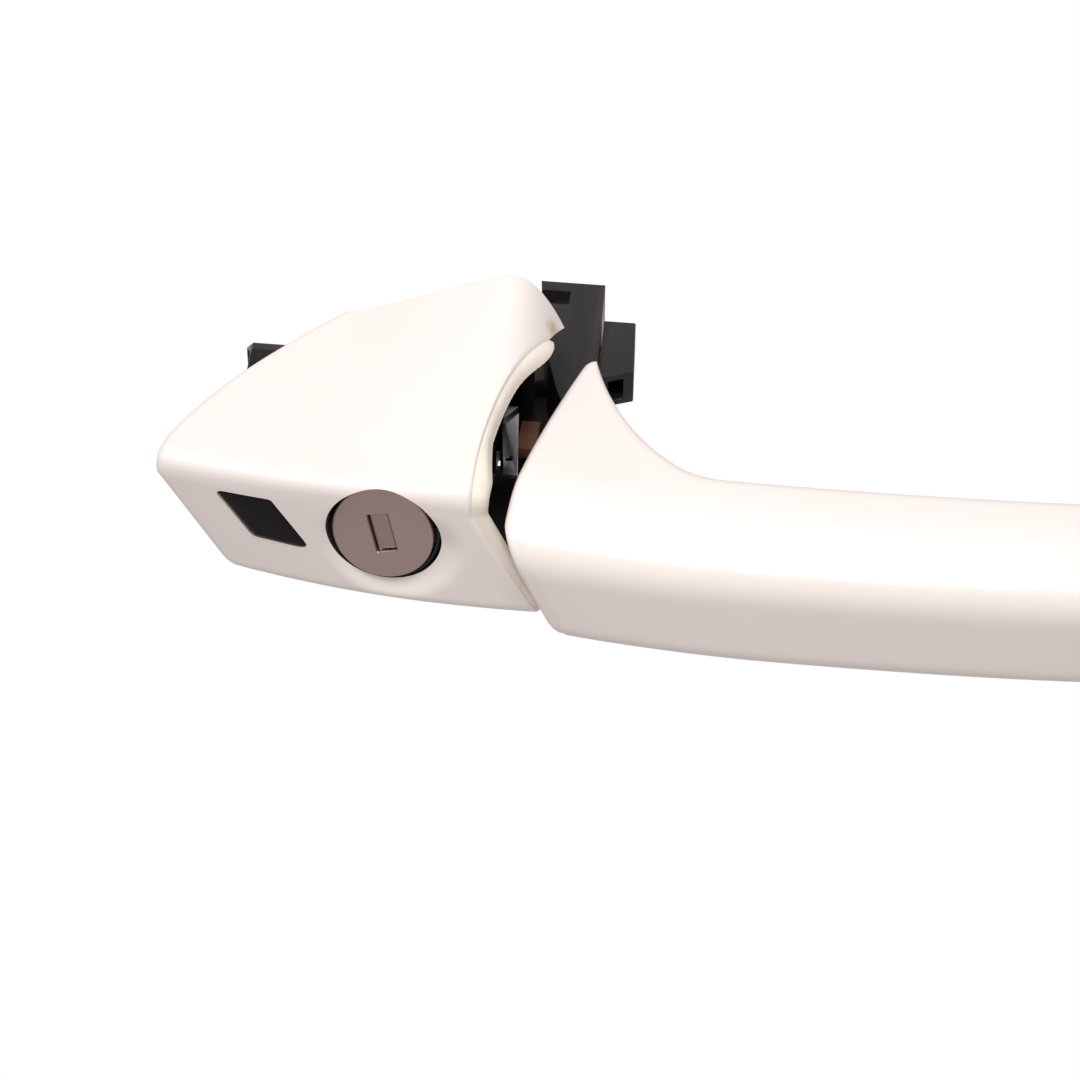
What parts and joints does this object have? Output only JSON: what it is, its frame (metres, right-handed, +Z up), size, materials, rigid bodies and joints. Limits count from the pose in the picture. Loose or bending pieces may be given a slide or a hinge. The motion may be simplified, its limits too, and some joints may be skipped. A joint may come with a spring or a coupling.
{
  "type": "car door handle",
  "caption": "White pull-type outside car door handle with a fixed end cap carrying a key lock and an infrared window, its grip hinged on brackets that sit behind the door skin.",
  "frame": {"origin": "middle of the rear bracket's seat pad, on the inner side of the door skin, beside the lock", "axes": "+X runs along the handle from the lock end to the hinge end, -Y points out of the door, +Z is up on the car"},
  "size_m": [0.2714, 0.0966, 0.0492],
  "materials": {
    "white_paint": "painted white, high gloss",
    "gloss_black": "polished, passes infrared light only",
    "circuit_board": "solder mask",
    "black_nylon": "glass-filled nylon, satin",
    "black_rubber": "matt",
    "satin_nickel": "satin nickel plate",
    "dark_nickel": "dark satin plate",
    "cast_zinc": "as cast",
    "zinc_plated_steel": "bright zinc plate",
    "brown_acetal": "moulded"
  },
  "bodies": {
    "door_mount": {"end_cap_shell": "white_paint", "infrared_window": "gloss_black", "receiver_board": "circuit_board", "receiver_eye": "gloss_black", "receiver_connector": "black_nylon", "lock_seal_ring": "black_rubber", "lock_housing": "cast_zinc", "lock_carrier": "black_nylon", "guide_strip": "zinc_plated_steel", "guide_pad": "brown_acetal", "arm_guide": "black_nylon", "rear_seal": "black_rubber", "front_seal": "black_rubber", "rear_bracket": "black_nylon", "front_bracket": "black_nylon", "cap_screw_1": "zinc_plated_steel", "cap_screw_2": "zinc_plated_steel", "rear_bracket_screw_1": "zinc_plated_steel", "rear_bracket_screw_2": "zinc_plated_steel", "front_bracket_screw_1": "zinc_plated_steel", "front_bracket_screw_2": "zinc_plated_steel", "lock_retaining_screw": "zinc_plated_steel", "lever_pin": "zinc_plated_steel", "return_spring": "zinc_plated_steel", "hinge_pin": "zinc_plated_steel"},
    "grip": {"grip_outer_shell": "white_paint", "grip_inner_cover": "white_paint", "grip_core": "black_nylon", "pull_arm": "black_nylon", "arm_shoe": "black_nylon", "arm_screw": "zinc_plated_steel", "pivot_nose": "black_nylon", "nose_screw": "zinc_plated_steel"},
    "lever": {"release_lever": "black_nylon"},
    "lock": {"lock_face_disc": "satin_nickel", "lock_plug": "cast_zinc", "plug_clip": "zinc_plated_steel", "lock_coupling": "black_nylon"},
    "shutter": {"dust_shutter": "dark_nickel"}
  },
  "joints": [
    {"name": "grip_pull", "type": "hinge", "parent": "door_mount", "child": "grip", "pos_m": [0.196, 0.014, 0], "axis": [0, 0, 1], "range_deg": [-1.75, 4.25], "stiffness_Nm_per_rad": 6},
    {"name": "lever_turn", "type": "hinge", "parent": "door_mount", "child": "lever", "pos_m": [-0.003, 0.0142, 0], "axis": [0, 0, 1], "range_deg": [-52.5, 21.8]},
    {"name": "lock_turn", "type": "hinge", "parent": "door_mount", "child": "lock", "pos_m": [-0.0165, -0.05, 0], "axis": [-0.067, -0.9896, 0.127], "range_deg": [-90, 90], "stiffness_Nm_per_rad": 0.05},
    {"name": "shutter_flap", "type": "hinge", "parent": "lock", "child": "shutter", "pos_m": [-0.01783, -0.04881, -0.00049], "axis": [-0.2331, 0.1392, 0.9624], "range_deg": [0, 70], "stiffness_Nm_per_rad": 0.0005}
  ],
  "couplings": [
    {"joint": "lever_turn", "follows": "grip_pull", "ratio": -12.3}
  ]
}
